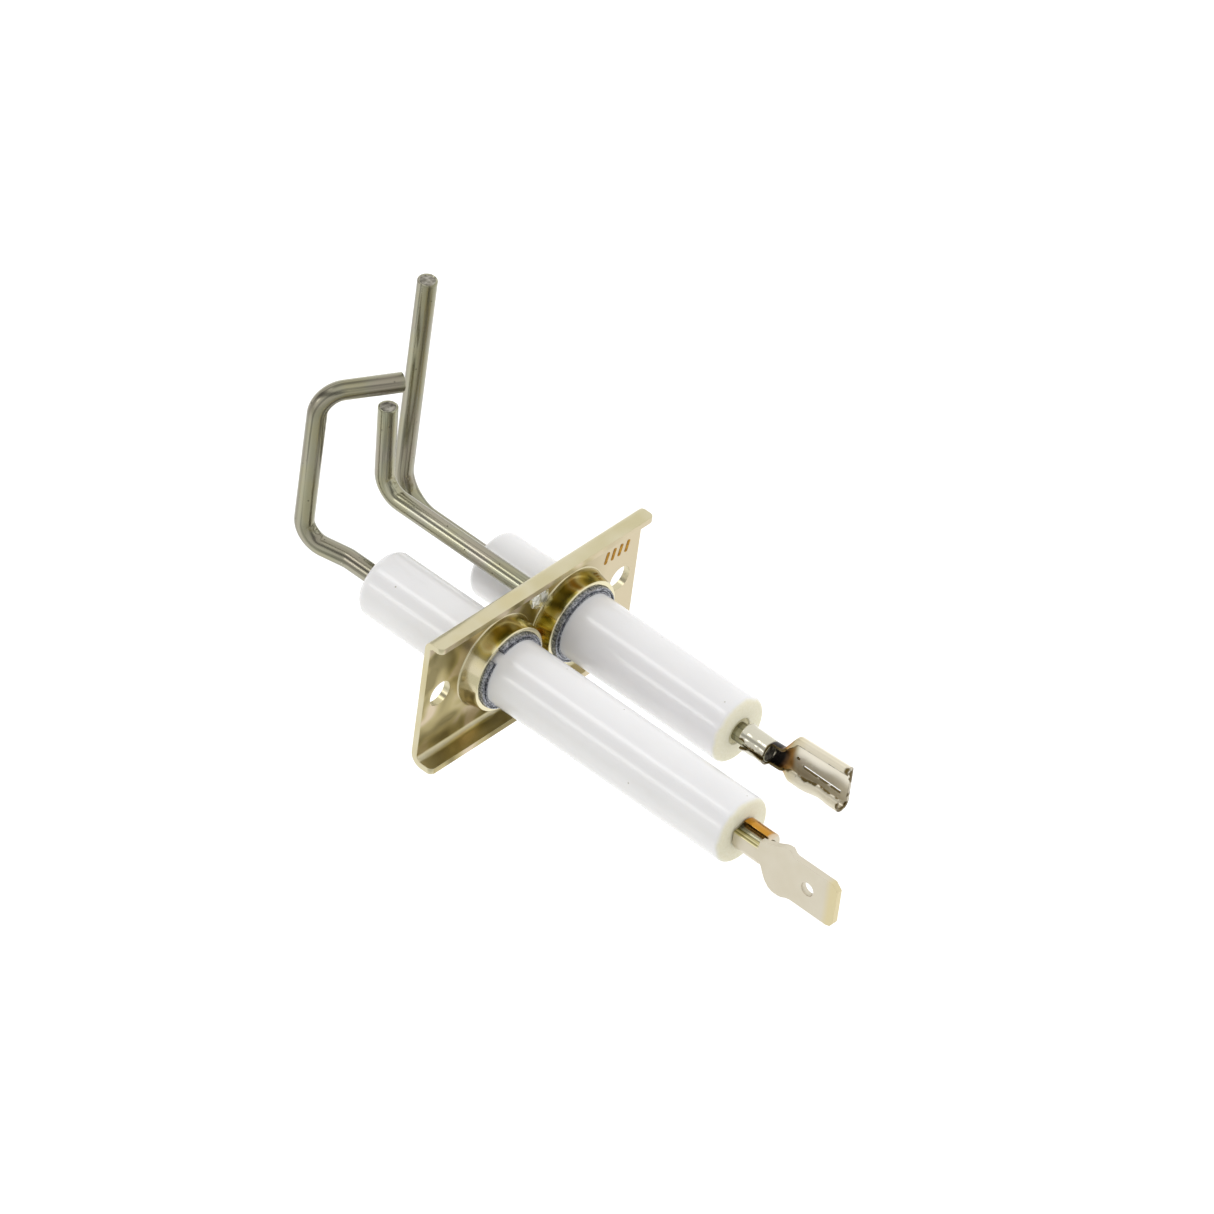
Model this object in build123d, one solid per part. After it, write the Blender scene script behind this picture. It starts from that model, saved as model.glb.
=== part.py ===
from build123d import *
import os
from math import cos, radians, sin, sqrt

# Gas-burner ignition and flame-sensing electrode set, in millimetres.
# The frame: the origin is midway between the two fixing holes, on the flat face of the
# plate that lies against the burner door. +X runs along the plate towards the rear
# insulator, +Y points into the burner and +Z is up.

os.makedirs("parts", exist_ok=True)

# Insulators: glazed ceramic tubes. Reaches are measured from the plate's flat face.
insulator_diameter = 8.5
insulator_bore_clearance = 0.2
front_burner_reach = 17.0
front_terminal_reach = 39.4
rear_burner_reach = 11.0
rear_terminal_reach = 27.7
burner_end_radius = 1.2
terminal_end_radius = 0.6

# Packing rings between collar and insulator, wound from strip with an open gap.
packing_thickness = 0.7
packing_depth = 3.4
packing_stand_out = 0.55
packing_gap = 1.4
front_packing_gap_angle = 127.0
rear_packing_gap_angle = -60.0

# Cement plugs that hold each rod in its insulator.
cement_wall = 0.5
cement_depth = 2.4
cement_recess = 0.1

# Drawn collars of the mounting plate.
collar_depth = 3.3
collar_base_wall = 1.0
collar_rim_wall = 0.6
collar_base_fillet = 0.25
collar_rim_bevel = 0.12
collar_entry_radius = 0.7
collar_gap = 0.4

# Mounting plate: a folded sheet with a lip along its top and its bottom.
sheet = 0.85
top_lip_depth = 2.55
bottom_lip_depth = 3.25
top_bend_inner_radius = 0.3
bottom_bend_inner_radius = 0.8
lip_corner_radius = 0.7
hole_diameter = 3.3
hole_to_collar = 1.2
hole_to_end = 1.1
collar_to_bottom_bend = 1.6
earth_rod_to_top_bend = 1.25

# Electrode rods, all of one wire.
rod_diameter = 2.4
rod_end_bevel = 0.12
rod_bend_radius = 3.0
kink_bend_radius = 4.0
flame_bend_radius = 5.0

spark_kink_from_insulator = 5.0
spark_kink_offset = 1.3
spark_post_from_kink = 6.15
spark_height = 21.65
spark_arm_along = 8.75
spark_arm_back = 4.85
spark_gap = 2.9

earth_offset = 0.7
earth_rod_to_collar = 0.38
earth_tip_past_arm = 1.2
earth_tip_lean = 0.9
earth_stand_out = 0.1

flame_post_behind_spark = 2.7
flame_tip_height = 32.9

# Weld bead round the end of the earth rod.
weld_leg = 0.3
weld_height = 0.6

# Male tab terminal of the spark electrode. Heights are from the tab's centre line,
# which runs tab_rise above the rod, and lengths are from the barrel's near end.
tab_sheet = 0.8
tab_width = 6.3
tab_barrel_length = 3.75
tab_barrel_stand_off = 0.15
tab_barrel_opening = 1.3
tab_barrel_opening_angle = 75.0
tab_rod_recess = 0.4
tab_rise = 0.35
tab_strip_high = 1.1
tab_neck_low = 0.8
tab_neck_high = 3.0
tab_neck_start = 3.9
tab_neck_end = 4.2
tab_shoulder_width = 7.5
tab_shoulder_start = 6.4
tab_shoulder_end = 7.8
tab_blade_start = 9.1
tab_reach = 15.6
tab_corner = 0.9
tab_hole_diameter = 1.8
tab_hole_from_end = 4.2

# Female receptacle terminal of the flame-sensing electrode.
receptacle_sheet = 0.35
receptacle_rod_showing = 1.3
receptacle_barrel_length = 3.55
receptacle_neck_length = 2.35
receptacle_neck_width = 2.3
receptacle_trough_length = 1.3
receptacle_length = 8.1
receptacle_width = 6.3
receptacle_upper_roll = 1.2
receptacle_lower_roll = 2.2
receptacle_drop = 0.4
receptacle_rise = 0.35
receptacle_roll_sweep = 285.0
receptacle_tilt = 3.2
receptacle_seam = 0.3
receptacle_slot_length = 5.8
receptacle_slot_width = 0.45
receptacle_slot_start = 1.2
receptacle_slot_height = -1.2
receptacle_dimple_diameter = 0.5
receptacle_dimple_start = 0.5

# How far the receptacle's neck runs into its barrel and its body.
neck_overlap = 0.6

# Derived sizes: radii first, then the plate laid out round the collars.
rod_radius = rod_diameter / 2
insulator_radius = insulator_diameter / 2
insulator_bore_radius = rod_radius + insulator_bore_clearance
cement_radius = rod_radius + cement_wall
collar_bore_radius = insulator_radius + packing_thickness
collar_base_radius = collar_bore_radius + collar_base_wall
collar_flare_radius = collar_base_radius + collar_base_fillet
weld_radius = rod_radius + weld_leg

rear_x = collar_base_radius + collar_gap / 2
front_x = -rear_x
earth_to_rear_axis = collar_flare_radius + earth_rod_to_collar + rod_radius
earth_height = sqrt(earth_to_rear_axis**2 - (rear_x - earth_offset) ** 2)
web_above_holes = earth_height + rod_radius + earth_rod_to_top_bend + top_bend_inner_radius + sheet
web_below_holes = collar_flare_radius + collar_to_bottom_bend + bottom_bend_inner_radius + sheet
hole_x = rear_x + collar_flare_radius + hole_to_collar + hole_diameter / 2
plate_length = 2 * hole_x + hole_diameter + 2 * hole_to_end

spark_kink_reach = front_burner_reach + spark_kink_from_insulator
spark_post_reach = spark_kink_reach + spark_post_from_kink
spark_tip_reach = spark_post_reach - spark_arm_back
earth_tip_reach = spark_tip_reach + earth_tip_past_arm
earth_tip_height = spark_height - rod_radius - spark_gap
flame_post_reach = spark_post_reach - flame_post_behind_spark


def y_cylinder(radius, y_low, y_high, x=0.0, z=0.0):
    """A cylinder along Y between two heights."""
    plane = Plane(origin=(x, y_low, z), z_dir=(0, 1, 0))
    return extrude(plane * Circle(radius), y_high - y_low)


def spin(outline, x=0.0, z=0.0):
    """Turns an outline of (radius, y) edges about an axis along Y."""
    face = Plane.XY * make_face(outline)
    return Pos(x, 0, z) * revolve(face, Axis.Y, 360)


def channel_section():
    """The folded sheet's section, with y across and z up."""
    top = web_above_holes
    bottom = -web_below_holes
    outer = FilletPolyline(
        (-top_lip_depth, top),
        (0, top),
        (0, bottom),
        (-bottom_lip_depth, bottom),
        radius=[top_bend_inner_radius + sheet, bottom_bend_inner_radius + sheet],
    )
    inner = FilletPolyline(
        (-bottom_lip_depth, bottom + sheet),
        (-sheet, bottom + sheet),
        (-sheet, top - sheet),
        (-top_lip_depth, top - sheet),
        radius=[bottom_bend_inner_radius, top_bend_inner_radius],
    )
    bottom_edge = Line((-bottom_lip_depth, bottom), (-bottom_lip_depth, bottom + sheet))
    top_edge = Line((-top_lip_depth, top - sheet), (-top_lip_depth, top))
    return make_face([outer, bottom_edge, inner, top_edge])


def collar(x):
    """The wall of one drawn collar, without its bore."""
    base = collar_base_radius
    rim = collar_bore_radius + collar_rim_wall
    flare = collar_flare_radius
    core = insulator_radius
    edges = [
        Polyline((core, -collar_depth), (core, -sheet / 2), (flare, -sheet / 2), (flare, -sheet)),
        RadiusArc((flare, -sheet), (base, -sheet - collar_base_fillet), collar_base_fillet),
        Polyline(
            (base, -sheet - collar_base_fillet),
            (rim, -collar_depth + collar_rim_bevel),
            (rim - collar_rim_bevel, -collar_depth),
            (core, -collar_depth),
        ),
    ]
    return spin(edges, x)


def collar_bore(x):
    """The bore through one collar, rounded where the sheet was drawn in."""
    radius = collar_bore_radius
    entry = radius + collar_entry_radius
    inside = insulator_radius
    low = -collar_entry_radius
    edges = [
        Polyline((radius, low), (inside, low), (inside, 1), (entry, 1), (entry, 0)),
        RadiusArc((entry, 0), (radius, low), collar_entry_radius),
    ]
    return y_cylinder(radius, -collar_depth - 1, 1, x) + spin(edges, x)


def mounting_plate():
    """The channel-shaped plate with its collars, fixing holes and earth-rod hole."""
    blank = extrude(Plane.YZ * channel_section(), plate_length / 2, both=True)
    corners = blank.edges().filter_by(Axis.Z).filter_by(lambda edge: edge.length < 2 * sheet)
    plate = fillet(corners, lip_corner_radius)
    for x in (front_x, rear_x):
        plate += collar(x)
    for x in (front_x, rear_x):
        plate -= collar_bore(x)
    for side in (-1, 1):
        plate -= y_cylinder(hole_diameter / 2, -2 * sheet, sheet, side * hole_x)
    plate -= y_cylinder(rod_radius, -2 * sheet, sheet, earth_offset, earth_height)
    return plate


def insulator(x, burner_reach, terminal_reach):
    """A ceramic tube with rounded ends and a counterbore for cement at each end."""
    profile = Plane.XY * make_face(
        Polyline(
            (insulator_bore_radius, -terminal_reach + cement_depth),
            (cement_radius, -terminal_reach + cement_depth),
            (cement_radius, -terminal_reach),
            (insulator_radius, -terminal_reach),
            (insulator_radius, burner_reach),
            (cement_radius, burner_reach),
            (cement_radius, burner_reach - cement_depth),
            (insulator_bore_radius, burner_reach - cement_depth),
            close=True,
        )
    )
    outer = profile.vertices().group_by(Axis.X)[-1].sort_by(Axis.Y)
    profile = fillet(outer[0], terminal_end_radius)
    outer = profile.vertices().sort_by(lambda v: abs(v.Y - burner_reach) + abs(v.X - insulator_radius))
    profile = fillet(outer[0], burner_end_radius)
    return Pos(x, 0, 0) * revolve(profile, Axis.Y, 360)


def cement(x, y_low):
    """A plug of cement round the rod, in an insulator's counterbore."""
    plug = y_cylinder(cement_radius, y_low, y_low + cement_depth - cement_recess, x)
    return plug - y_cylinder(rod_radius, y_low - 1, y_low + cement_depth + 1, x)


def packing_ring(x, gap_angle):
    """A strip wound round the insulator inside the collar, open at its gap."""
    y_low = -collar_depth - packing_stand_out
    y_high = y_low + packing_depth
    ring = y_cylinder(collar_bore_radius, y_low, y_high, x)
    ring -= y_cylinder(insulator_radius, y_low - 1, y_high + 1, x)
    slot = Pos(insulator_radius, 0, 0) * Box(4 * packing_thickness, 4 * packing_depth, packing_gap)
    return ring - Pos(x, 0, 0) * Rot(0, -gap_angle, 0) * slot


def bent_rod(points, radii):
    """A round rod along a path of straight runs and tangent arcs, bevelled at its ends."""
    path = FilletPolyline(*points, radius=radii)
    rod = sweep(Plane(origin=path @ 0, z_dir=path % 0) * Circle(rod_radius), path=path)
    ends = [path @ 0, path @ 1]
    rims = rod.edges().filter_by(GeomType.CIRCLE)
    rims = rims.filter_by(lambda edge: min((edge.arc_center - end).length for end in ends) < 0.01)
    return chamfer(rims, rod_end_bevel)


def spark_electrode():
    """Through the front insulator, out to a post, and an arm back over the earth tip."""
    post_x = front_x - spark_kink_offset
    start = -front_terminal_reach - tab_barrel_stand_off - tab_barrel_length + tab_rod_recess
    points = [
        (front_x, start, 0),
        (front_x, spark_kink_reach, 0),
        (post_x, spark_post_reach, 0),
        (post_x, spark_post_reach, spark_height),
        (post_x + spark_arm_along, spark_tip_reach, spark_height),
    ]
    return bent_rod(points, [kink_bend_radius, rod_bend_radius, rod_bend_radius])


def flame_sensing_electrode():
    """Through the rear insulator and straight up into the flame."""
    start = -rear_terminal_reach - receptacle_rod_showing - receptacle_barrel_length
    points = [
        (rear_x, start, 0),
        (rear_x, flame_post_reach, 0),
        (rear_x, flame_post_reach, flame_tip_height),
    ]
    return bent_rod(points, [flame_bend_radius])


def earth_electrode():
    """Through the plate between the collars, and up under the spark arm."""
    points = [
        (earth_offset, -sheet - earth_stand_out, earth_height),
        (earth_offset, earth_tip_reach - earth_tip_lean, earth_height),
        (earth_offset, earth_tip_reach, earth_tip_height),
    ]
    return bent_rod(points, [rod_bend_radius])


def earth_rod_weld():
    """The weld bead on the plate's terminal side, round and over the rod's end."""
    height = weld_height
    radius = (weld_radius**2 + height**2) / (2 * height)
    edges = [
        Line((0, -sheet), (weld_radius, -sheet)),
        RadiusArc((weld_radius, -sheet), (0, -sheet - height), radius),
        Line((0, -sheet - height), (0, -sheet)),
    ]
    bead = spin(edges, earth_offset, earth_height)
    return bead - y_cylinder(rod_radius, -sheet - earth_stand_out, 0, earth_offset, earth_height)


def tab_outline():
    """The flat outline of the tab, as (y, z) points: strip, neck, shoulder and blade."""
    face = -front_terminal_reach - tab_barrel_stand_off
    shoulder = tab_shoulder_width / 2
    blade = tab_width / 2
    lower = [
        (0, -tab_neck_low),
        (tab_neck_end, -tab_neck_low),
        (tab_shoulder_start, -shoulder),
        (tab_shoulder_end, -shoulder),
        (tab_blade_start, -blade),
        (tab_reach - tab_corner, -blade),
        (tab_reach, tab_corner - blade),
    ]
    upper = [
        (tab_reach, blade - tab_corner),
        (tab_reach - tab_corner, blade),
        (tab_blade_start, blade),
        (tab_shoulder_end, shoulder),
        (tab_shoulder_start, tab_neck_high),
        (tab_neck_start, tab_neck_high),
        (tab_neck_start, tab_strip_high),
        (0, tab_strip_high),
    ]
    return [(face - along, tab_rise + height) for along, height in lower + upper]


def tab_terminal():
    """The flat male terminal and the open barrel crimped on the spark rod."""
    face = -front_terminal_reach - tab_barrel_stand_off
    outer = rod_radius + tab_sheet
    barrel = y_cylinder(outer, face - tab_barrel_length, face, front_x)
    barrel -= y_cylinder(rod_radius, face - tab_barrel_length - 1, face + 1, front_x)
    opening = Pos(outer, 0, 0) * Box(2 * outer, 2 * tab_barrel_length, tab_barrel_opening)
    barrel -= Pos(front_x, face - tab_barrel_length / 2, 0) * Rot(0, -tab_barrel_opening_angle, 0) * opening
    outline = Plane.YZ * make_face(Polyline(*tab_outline(), close=True))
    flat = Pos(front_x - outer, 0, 0) * extrude(outline, tab_sheet)
    hole_y = face - tab_reach + tab_hole_from_end
    hole_plane = Plane(origin=(front_x - 2 * outer, hole_y, tab_rise), z_dir=(1, 0, 0))
    return barrel + flat - extrude(hole_plane * Circle(tab_hole_diameter / 2), 2 * outer)


def receptacle_section():
    """The receptacle's section across Y: a floor with a small roll above and a larger one below."""
    wall = receptacle_sheet
    open_part = 360 - receptacle_roll_sweep
    top = receptacle_width / 2 - receptacle_upper_roll / 2
    bottom = receptacle_lower_roll / 2 - receptacle_width / 2
    section = Pos(-wall / 2, (top + bottom) / 2) * Rectangle(wall, top - bottom)
    for side, centre, roll in ((-1, bottom, receptacle_lower_roll / 2), (1, top, receptacle_upper_roll / 2)):
        ring = Circle(roll) - Circle(roll - wall)
        reach = 2 * roll
        mouth = Polyline(
            (0, 0),
            (reach, -side * 0.001),
            (reach * cos(radians(open_part / 2)), -side * reach * sin(radians(open_part / 2))),
            (reach * cos(radians(open_part)), -side * reach * sin(radians(open_part))),
            close=True,
        )
        section += Pos(-roll, centre) * (ring - make_face(mouth))
    return section


def receptacle_terminal():
    """The female terminal: barrel crimped on the rod, trough, neck and rolled receptacle."""
    wall = receptacle_sheet
    outer = rod_radius + wall
    barrel_high = -rear_terminal_reach - receptacle_rod_showing
    barrel_low = barrel_high - receptacle_barrel_length
    trough_low = barrel_low - receptacle_trough_length
    barrel = y_cylinder(outer, trough_low, barrel_high, rear_x)
    barrel -= y_cylinder(rod_radius, trough_low - 1, barrel_high + 1, rear_x)
    barrel -= Pos(rear_x - outer, (barrel_low + barrel_high) / 2, 0) * Box(
        outer, 2 * receptacle_barrel_length, receptacle_seam
    )
    barrel -= Pos(rear_x - outer, trough_low, 0) * Box(2 * outer, 2 * receptacle_trough_length, 2 * outer)
    pivot = Pos(rear_x, barrel_low, 0) * Rot(-receptacle_tilt, 0, 0)
    near = rod_radius
    far = near + receptacle_drop
    end = -receptacle_neck_length
    side_view = make_face(
        Polyline(
            (near, neck_overlap),
            (near + wall, neck_overlap),
            (near + wall, 0),
            (far + wall, end),
            (far + wall, end - neck_overlap),
            (far, end - neck_overlap),
            (far, end),
            (near, 0),
            close=True,
        )
    )
    neck = extrude(Plane.XY * side_view, receptacle_neck_width / 2, both=True)
    body_start = (far + wall, end, receptacle_rise)
    body_plane = Plane(origin=body_start, x_dir=(1, 0, 0), z_dir=(0, -1, 0))
    body = extrude(body_plane * receptacle_section(), receptacle_length)
    slot_y = end - receptacle_slot_start - receptacle_slot_length / 2
    slot = Box(4 * wall, receptacle_slot_length, receptacle_slot_width)
    body -= Pos(far + wall / 2, slot_y, receptacle_rise + receptacle_slot_height) * slot
    dimple_y = end - receptacle_dimple_start
    dimple_plane = Plane(origin=(far - wall, dimple_y, 0), z_dir=(1, 0, 0))
    body -= extrude(dimple_plane * Circle(receptacle_dimple_diameter / 2), 4 * wall)
    free_end = pivot * (neck + body)
    free_end -= y_cylinder(rod_radius, trough_low, barrel_low + 2 * neck_overlap, rear_x)
    return barrel + free_end


nodes = {
    "mounting_plate": mounting_plate(),
    "front_insulator": insulator(front_x, front_burner_reach, front_terminal_reach),
    "rear_insulator": insulator(rear_x, rear_burner_reach, rear_terminal_reach),
    "front_packing_ring": packing_ring(front_x, front_packing_gap_angle),
    "rear_packing_ring": packing_ring(rear_x, rear_packing_gap_angle),
    "front_burner_end_cement": cement(front_x, front_burner_reach - cement_depth),
    "front_terminal_end_cement": cement(front_x, -front_terminal_reach + cement_recess),
    "rear_burner_end_cement": cement(rear_x, rear_burner_reach - cement_depth),
    "rear_terminal_end_cement": cement(rear_x, -rear_terminal_reach + cement_recess),
    "spark_electrode": spark_electrode(),
    "flame_sensing_electrode": flame_sensing_electrode(),
    "earth_electrode": earth_electrode(),
    "earth_rod_weld": earth_rod_weld(),
    "tab_terminal": tab_terminal(),
    "receptacle_terminal": receptacle_terminal(),
}

for name, shape in nodes.items():
    export_step(shape, f"parts/{name}.step")
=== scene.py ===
import math

import bpy
from mathutils import Matrix, Vector, noise


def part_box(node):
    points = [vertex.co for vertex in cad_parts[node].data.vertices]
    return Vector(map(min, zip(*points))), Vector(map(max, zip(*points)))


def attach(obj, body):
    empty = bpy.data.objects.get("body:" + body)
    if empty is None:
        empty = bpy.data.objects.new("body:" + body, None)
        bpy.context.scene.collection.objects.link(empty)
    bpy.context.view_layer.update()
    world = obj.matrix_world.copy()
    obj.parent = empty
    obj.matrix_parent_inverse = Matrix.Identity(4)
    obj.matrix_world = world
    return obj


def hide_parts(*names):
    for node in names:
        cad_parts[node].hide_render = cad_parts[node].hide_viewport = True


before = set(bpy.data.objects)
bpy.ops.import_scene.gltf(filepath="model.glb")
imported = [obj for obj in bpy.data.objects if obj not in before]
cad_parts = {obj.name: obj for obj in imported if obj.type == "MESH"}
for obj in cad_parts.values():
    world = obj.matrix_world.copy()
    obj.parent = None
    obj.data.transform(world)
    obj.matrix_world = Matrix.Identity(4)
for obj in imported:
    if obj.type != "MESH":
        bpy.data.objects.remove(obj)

MM = 0.001
ALONG_X = (0, math.pi / 2, 0)
ALONG_Y = (math.pi / 2, 0, 0)
# Points nearer than SAME are one point; a face or edge within NEAR of a plane lies in it.
SAME = 0.001 * MM
NEAR = 0.01 * MM
# The level direction that the part is seen from.
SEEN_FROM = (-0.796, -0.606, 0.0)
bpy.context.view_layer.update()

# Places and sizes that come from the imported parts.
plate_low, plate_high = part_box("mounting_plate")
front_low, front_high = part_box("front_insulator")
rear_low, rear_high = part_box("rear_insulator")
spark_low, spark_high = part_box("spark_electrode")
flame_low, flame_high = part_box("flame_sensing_electrode")
earth_low, earth_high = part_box("earth_electrode")
weld_low, weld_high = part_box("earth_rod_weld")
tab_low, tab_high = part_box("tab_terminal")
receptacle_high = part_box("receptacle_terminal")[1]

front_x = (front_low.x + front_high.x) / 2
rear_x = (rear_low.x + rear_high.x) / 2
insulator_radius = (front_high.x - front_low.x) / 2
wire_radius = (flame_high.x - flame_low.x) / 2
earth_x = (earth_low.x + earth_high.x) / 2
earth_z = earth_low.z + wire_radius

# Sizes of the shop-made details.
wire_edge = 0.12 * MM
kink_from_insulator = 5.0 * MM
kink_radius = 4.0 * MM
bend_radius = 3.0 * MM
flame_bend_radius = 5.0 * MM
spark_arm = Vector((8.75, -4.85, 0)) * MM
earth_upright = Vector((0, 0.9, 12.0)) * MM
# The creases that bending leaves inside a bend: how deep, and how far out in the wire they begin.
crease_depth = 0.17 * MM
crease_start = 0.35

burner_round = 1.2 * MM
terminal_round = 0.6 * MM
cement_radius = wire_radius + 0.5 * MM
cement_depth = 2.4 * MM
pocket_edge = 0.1 * MM
insulator_bore = wire_radius + 0.2 * MM

sheet = 0.85 * MM
top_bend = 0.3 * MM
bottom_bend = 0.8 * MM
top_lip_depth = 2.55 * MM
bottom_lip_depth = 3.25 * MM
lip_corner = 0.7 * MM
hole_reach = 15.2 * MM
hole_radius = 1.65 * MM
packing_total = 0.7 * MM
collar_base_wall = 1.0 * MM
collar_rim_wall = 0.6 * MM
collar_fillet = 0.25 * MM
collar_entry = 0.7 * MM

tab_sheet = 0.8 * MM
tab_barrel_length = 3.75 * MM
tab_opening = 1.3 * MM
tab_opening_angle = 75
tab_hole_radius = 0.9 * MM
tab_hole_from_end = 4.2 * MM
thin_sheet = 0.35 * MM

leaf_thickness = 0.2 * MM
leaf_pitch = 0.25 * MM
# How far short each leaf stops, and the gap in its turn.
leaf_drops = (0.0, 0.12 * MM, 0.05 * MM)
leaf_gaps = (1.4 * MM, 1.82 * MM, 1.54 * MM)


# ---------------------------------------------------------------- small helpers

def colour(code):
    """An sRGB hex colour as the linear colour that the shaders take."""
    channels = [int(code[i:i + 2], 16) / 255 for i in (1, 3, 5)]
    linear = [c / 12.92 if c <= 0.04045 else ((c + 0.055) / 1.055) ** 2.4 for c in channels]
    return (*linear, 1.0)


def add(material, kind, inputs=None, stops=(), **settings):
    """Add a shader node with its settings, and values or other nodes on its inputs.

    A node on an input gives its first output in use. Stops are (place, colour or grey) along a ramp.
    """
    node = material.node_tree.nodes.new("ShaderNode" + kind)
    for name, value in settings.items():
        setattr(node, name, value)
    for name, value in (inputs or {}).items():
        if isinstance(value, bpy.types.Node):
            value = next(output for output in value.outputs if output.enabled)
        if isinstance(value, bpy.types.NodeSocket):
            material.node_tree.links.new(value, node.inputs[name])
        else:
            node.inputs[name].default_value = value
    while stops and len(node.color_ramp.elements) < len(stops):
        node.color_ramp.elements.new(1.0)
    for element, (place, value) in zip(node.color_ramp.elements if stops else (), stops):
        element.position = place
        element.color = colour(value) if isinstance(value, str) else (value, value, value, 1)
    return node


def started(name, **surface):
    """A material with its surface shader's own constants set, and that shader."""
    material = bpy.data.materials.new(name)
    material.use_nodes = True
    shader = material.node_tree.nodes["Principled BSDF"]
    for socket, value in surface.items():
        shader.inputs[socket.replace("_", " ")].default_value = value
    return material, shader


def wire_up(material, shader, **sockets):
    """Give nodes to the surface shader's inputs; a socket's spaces are written as underscores."""
    for socket, node in sockets.items():
        output = next(output for output in node.outputs if output.enabled)
        material.node_tree.links.new(output, shader.inputs[socket.replace("_", " ")])


def only(obj):
    """Deselect everything, then select one object."""
    bpy.ops.object.select_all(action="DESELECT")
    obj.select_set(True)
    bpy.context.view_layer.objects.active = obj


def placed(name):
    """Name the newest object and put its place into its mesh."""
    obj = bpy.context.active_object
    obj.name = name
    obj.data.name = name
    bpy.ops.object.transform_apply(location=True, rotation=True, scale=True)
    return obj


def pick(obj, mode, test):
    """In edit mode, select the edges or faces whose corner points pass a test."""
    bpy.ops.mesh.select_mode(type=mode)
    bpy.ops.mesh.select_all(action="DESELECT")
    bpy.ops.object.mode_set(mode="OBJECT")
    mesh = obj.data
    for item in mesh.edges if mode == "EDGE" else mesh.polygons:
        item.select = test([mesh.vertices[i].co for i in item.vertices])
    bpy.ops.object.mode_set(mode="EDIT")


def edit_all():
    """Enter edit mode with everything selected."""
    bpy.ops.object.mode_set(mode="EDIT")
    bpy.ops.mesh.select_all(action="SELECT")


def face_outwards():
    """Turn every face outwards and leave edit mode."""
    bpy.ops.mesh.select_all(action="SELECT")
    bpy.ops.mesh.normals_make_consistent(inside=False)
    bpy.ops.object.mode_set(mode="OBJECT")


def modify(obj, kind, **settings):
    """Add a modifier to a piece and apply it."""
    modifier = obj.modifiers.new(kind, kind)
    for name, value in settings.items():
        setattr(modifier, name, value)
    only(obj)
    bpy.ops.object.modifier_apply(modifier=modifier.name)


def joined(pieces, name):
    """Several pieces as one object."""
    only(pieces[0])
    for piece in pieces[1:]:
        piece.select_set(True)
    bpy.ops.object.join()
    pieces[0].name = name
    return pieces[0]


def outline(name, points, fill="NGON"):
    """A closed outline through points in space."""
    bpy.ops.object.select_all(action="DESELECT")
    bpy.ops.mesh.primitive_circle_add(vertices=len(points), radius=1, fill_type=fill)
    obj = placed(name)
    for vertex, point in zip(obj.data.vertices, points):
        vertex.co = point
    return obj


def smooth(obj, degrees):
    """Smooth shading that keeps edges sharper than an angle."""
    only(obj)
    bpy.ops.object.shade_smooth_by_angle(angle=math.radians(degrees))


def finish(obj, material, slot, *nodes):
    """Give a piece its material, and let it stand for its CAD nodes; the slot is not used."""
    if material is not None:
        obj.data.materials.clear()
        obj.data.materials.append(material)
    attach(obj, "root")
    if nodes:
        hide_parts(*nodes)


# ---------------------------------------------------------------- materials

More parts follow.
